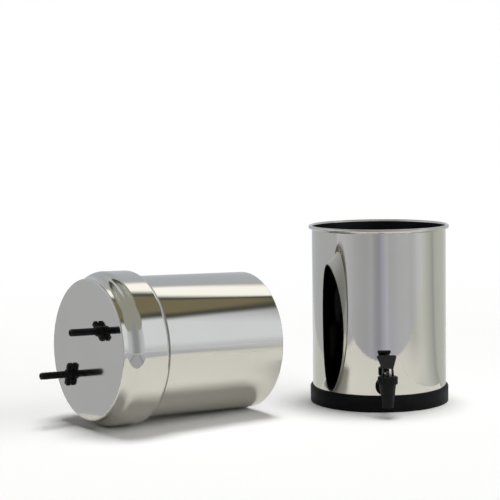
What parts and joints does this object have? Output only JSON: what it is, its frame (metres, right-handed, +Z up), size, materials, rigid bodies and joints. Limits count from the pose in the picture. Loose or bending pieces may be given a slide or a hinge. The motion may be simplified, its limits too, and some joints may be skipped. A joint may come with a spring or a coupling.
{
  "type": "gravity water filter",
  "caption": "Stainless gravity water filter in two chambers: a standing receiver with a lever tap, and the filter chamber lifted off, lying with its threaded outlets showing.",
  "frame": {"origin": "centre of the receiving chamber's base ring, on the floor it stands on", "axes": "+Z up along the receiving chamber's axis; the tap points to -Y; the filtering chamber lies on the -X side with its mouth towards +X and +Y"},
  "size_m": [0.7562, 0.4737, 0.3378],
  "materials": {
    "polished_steel": "mirror-polished stainless steel sheet",
    "black_rubber": "satin black rubber",
    "black_plastic": "moulded black plastic, semi-gloss",
    "stem_plastic": "smooth black acetal",
    "valve_rubber": "soft grey silicone",
    "spring_steel": "drawn stainless wire",
    "carbon": "pressed porous carbon"
  },
  "bodies": {
    "receiving": {"receiving_chamber": "polished_steel", "base_ring": "black_rubber", "tap_body": "black_plastic", "tap_bonnet": "black_plastic", "tap_outer_washer": "black_rubber", "tap_inner_washer": "black_rubber", "tap_shank_nut": "black_plastic", "tap_spring": "spring_steel"},
    "valve": {"tap_stem": "stem_plastic", "tap_seat_cup": "valve_rubber", "tap_lever_pin": "spring_steel"},
    "lever": {"tap_lever": "black_plastic"},
    "filtering": {"filtering_chamber": "polished_steel", "filter_seal_1": "black_rubber", "filter_base_1": "black_plastic", "filter_block_1": "carbon", "filter_top_1": "black_plastic", "filter_seal_2": "black_rubber", "filter_base_2": "black_plastic", "filter_block_2": "carbon", "filter_top_2": "black_plastic"},
    "wing_nut_1": {"wing_nut_1": "black_plastic"},
    "wing_nut_2": {"wing_nut_2": "black_plastic"}
  },
  "joints": [
    {"name": "stem_lift", "type": "slide", "parent": "receiving", "child": "valve", "axis": [0, 0, 1], "range_m": [0, 0.0034], "stiffness_N_per_m": 300, "springref_m": -0.004, "deforming": ["tap_spring"]},
    {"name": "lever_pull", "type": "hinge", "parent": "valve", "child": "lever", "pos_m": [0, -0.177, 0.0807], "axis": [1, 0, 0], "range_deg": [0, 80]},
    {"name": "chamber_lift", "type": "slide", "parent": "receiving", "child": "filtering", "axis": [0, 0, 1], "range_m": [0, 0.36]},
    {"name": "wing_nut_1_spin", "type": "hinge", "parent": "filtering", "child": "wing_nut_1", "pos_m": [-0.57263, -0.19706, 0.09079], "axis": [-0.82, -0.5709, 0.0411], "continuous": true},
    {"name": "wing_nut_2_spin", "type": "hinge", "parent": "filtering", "child": "wing_nut_2", "pos_m": [-0.50931, -0.28159, 0.17992], "axis": [-0.82, -0.5709, 0.0411], "continuous": true}
  ],
  "couplings": [
    {"joint": "lever_pull", "follows": "stem_lift", "rad_per_m": 410.66}
  ]
}
